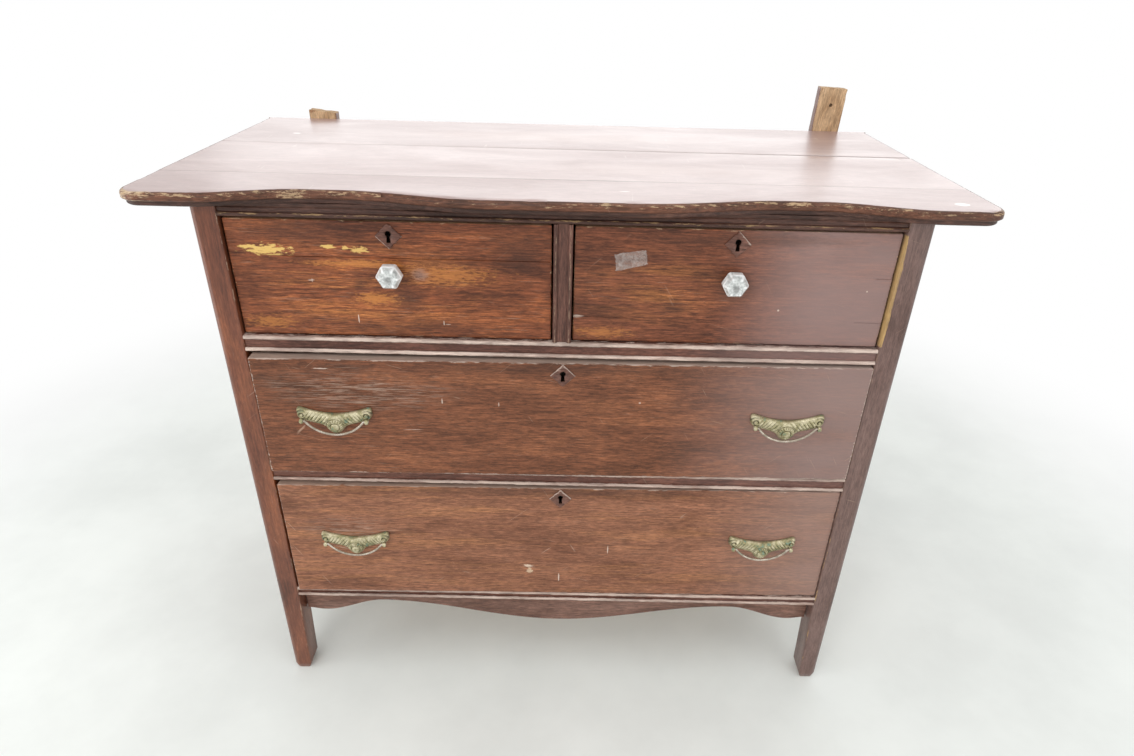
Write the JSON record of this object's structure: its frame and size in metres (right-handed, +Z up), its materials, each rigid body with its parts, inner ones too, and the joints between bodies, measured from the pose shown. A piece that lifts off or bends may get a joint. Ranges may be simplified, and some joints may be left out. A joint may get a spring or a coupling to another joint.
{
  "type": "dresser",
  "caption": "Stained wood dresser: moulded serpentine top, short glass-knobbed drawers over long ones with cast bail pulls, beaded rails, shaped apron, square legs and sawn-off mirror posts.",
  "frame": {"origin": "on the floor, under the middle of the object's box", "axes": "+Z up, +X to the right of someone facing the drawers, -Y out of the drawers' fronts"},
  "size_m": [1.084, 0.5372, 0.9421],
  "materials": {
    "stained_wood": "worn dark red-brown stain with a satin shine",
    "top_wood": "worn red-brown stain, glossier than the case",
    "lining_wood": "unfinished secondary wood",
    "raw_wood": "bare sawn wood",
    "aged_brass": "aged cast brass with green tarnish",
    "rubbed_brass": "brass rubbed bright by hands",
    "pressed_glass": "clear pressed glass",
    "lock_iron": "dark iron"
  },
  "bodies": {
    "case": {"front_post_left": "stained_wood", "front_post_right": "stained_wood", "rear_post_left": "stained_wood", "rear_post_right": "stained_wood", "side_panel_left": "stained_wood", "side_panel_right": "stained_wood", "back_panel": "lining_wood", "dust_panel_upper": "lining_wood", "dust_panel_middle": "lining_wood", "dust_panel_bottom": "lining_wood", "upper_drawer_rail": "stained_wood", "middle_drawer_rail": "stained_wood", "bottom_rail": "stained_wood", "frieze_rail": "stained_wood", "centre_divider": "stained_wood", "apron": "stained_wood", "top_board_front": "top_wood", "top_board_middle": "top_wood", "top_board_back": "top_wood", "mirror_post_left": "raw_wood", "mirror_post_right": "raw_wood"},
    "top_left_drawer": {"top_left_drawer_front": "stained_wood", "top_left_drawer_left_side": "lining_wood", "top_left_drawer_right_side": "lining_wood", "top_left_drawer_back": "lining_wood", "top_left_drawer_bottom": "lining_wood", "top_left_drawer_escutcheon": "stained_wood", "top_left_drawer_lock": "lock_iron", "top_left_drawer_knob": "pressed_glass"},
    "top_right_drawer": {"top_right_drawer_front": "stained_wood", "top_right_drawer_left_side": "lining_wood", "top_right_drawer_right_side": "lining_wood", "top_right_drawer_back": "lining_wood", "top_right_drawer_bottom": "lining_wood", "top_right_drawer_escutcheon": "stained_wood", "top_right_drawer_lock": "lock_iron", "top_right_drawer_knob": "pressed_glass"},
    "middle_drawer": {"middle_drawer_front": "stained_wood", "middle_drawer_left_side": "lining_wood", "middle_drawer_right_side": "lining_wood", "middle_drawer_back": "lining_wood", "middle_drawer_bottom": "lining_wood", "middle_drawer_escutcheon": "stained_wood", "middle_drawer_lock": "lock_iron", "middle_drawer_left_pull_plate": "aged_brass", "middle_drawer_right_pull_plate": "aged_brass"},
    "bottom_drawer": {"bottom_drawer_front": "stained_wood", "bottom_drawer_left_side": "lining_wood", "bottom_drawer_right_side": "lining_wood", "bottom_drawer_back": "lining_wood", "bottom_drawer_bottom": "lining_wood", "bottom_drawer_escutcheon": "stained_wood", "bottom_drawer_lock": "lock_iron", "bottom_drawer_left_pull_plate": "aged_brass", "bottom_drawer_right_pull_plate": "aged_brass"},
    "middle_left_bail": {"middle_drawer_left_bail": "rubbed_brass"},
    "middle_right_bail": {"middle_drawer_right_bail": "rubbed_brass"},
    "bottom_left_bail": {"bottom_drawer_left_bail": "rubbed_brass"},
    "bottom_right_bail": {"bottom_drawer_right_bail": "rubbed_brass"}
  },
  "joints": [
    {"name": "top_left_drawer_slide", "type": "slide", "parent": "case", "child": "top_left_drawer", "axis": [0, -1, 0], "range_m": [0, 0.32]},
    {"name": "top_right_drawer_slide", "type": "slide", "parent": "case", "child": "top_right_drawer", "axis": [0, -1, 0], "range_m": [0, 0.32]},
    {"name": "middle_drawer_slide", "type": "slide", "parent": "case", "child": "middle_drawer", "axis": [0, -1, 0], "range_m": [0, 0.32]},
    {"name": "bottom_drawer_slide", "type": "slide", "parent": "case", "child": "bottom_drawer", "axis": [0, -1, 0], "range_m": [0, 0.32]},
    {"name": "middle_left_bail_swing", "type": "hinge", "parent": "middle_drawer", "child": "middle_left_bail", "pos_m": [-0.32066, -0.2594, 0.54325], "axis": [-0.9999, -0.0116, 0], "range_deg": [0, 85]},
    {"name": "middle_right_bail_swing", "type": "hinge", "parent": "middle_drawer", "child": "middle_right_bail", "pos_m": [0.32629, -0.25187, 0.54325], "axis": [-0.9999, -0.0116, 0], "range_deg": [0, 85]},
    {"name": "bottom_left_bail_swing", "type": "hinge", "parent": "bottom_drawer", "child": "bottom_left_bail", "pos_m": [-0.32066, -0.25345, 0.30975], "axis": [-0.9999, -0.0118, 0], "range_deg": [0, 85]},
    {"name": "bottom_right_bail_swing", "type": "hinge", "parent": "bottom_drawer", "child": "bottom_right_bail", "pos_m": [0.3263, -0.24582, 0.30975], "axis": [-0.9999, -0.0118, 0], "range_deg": [0, 85]}
  ]
}
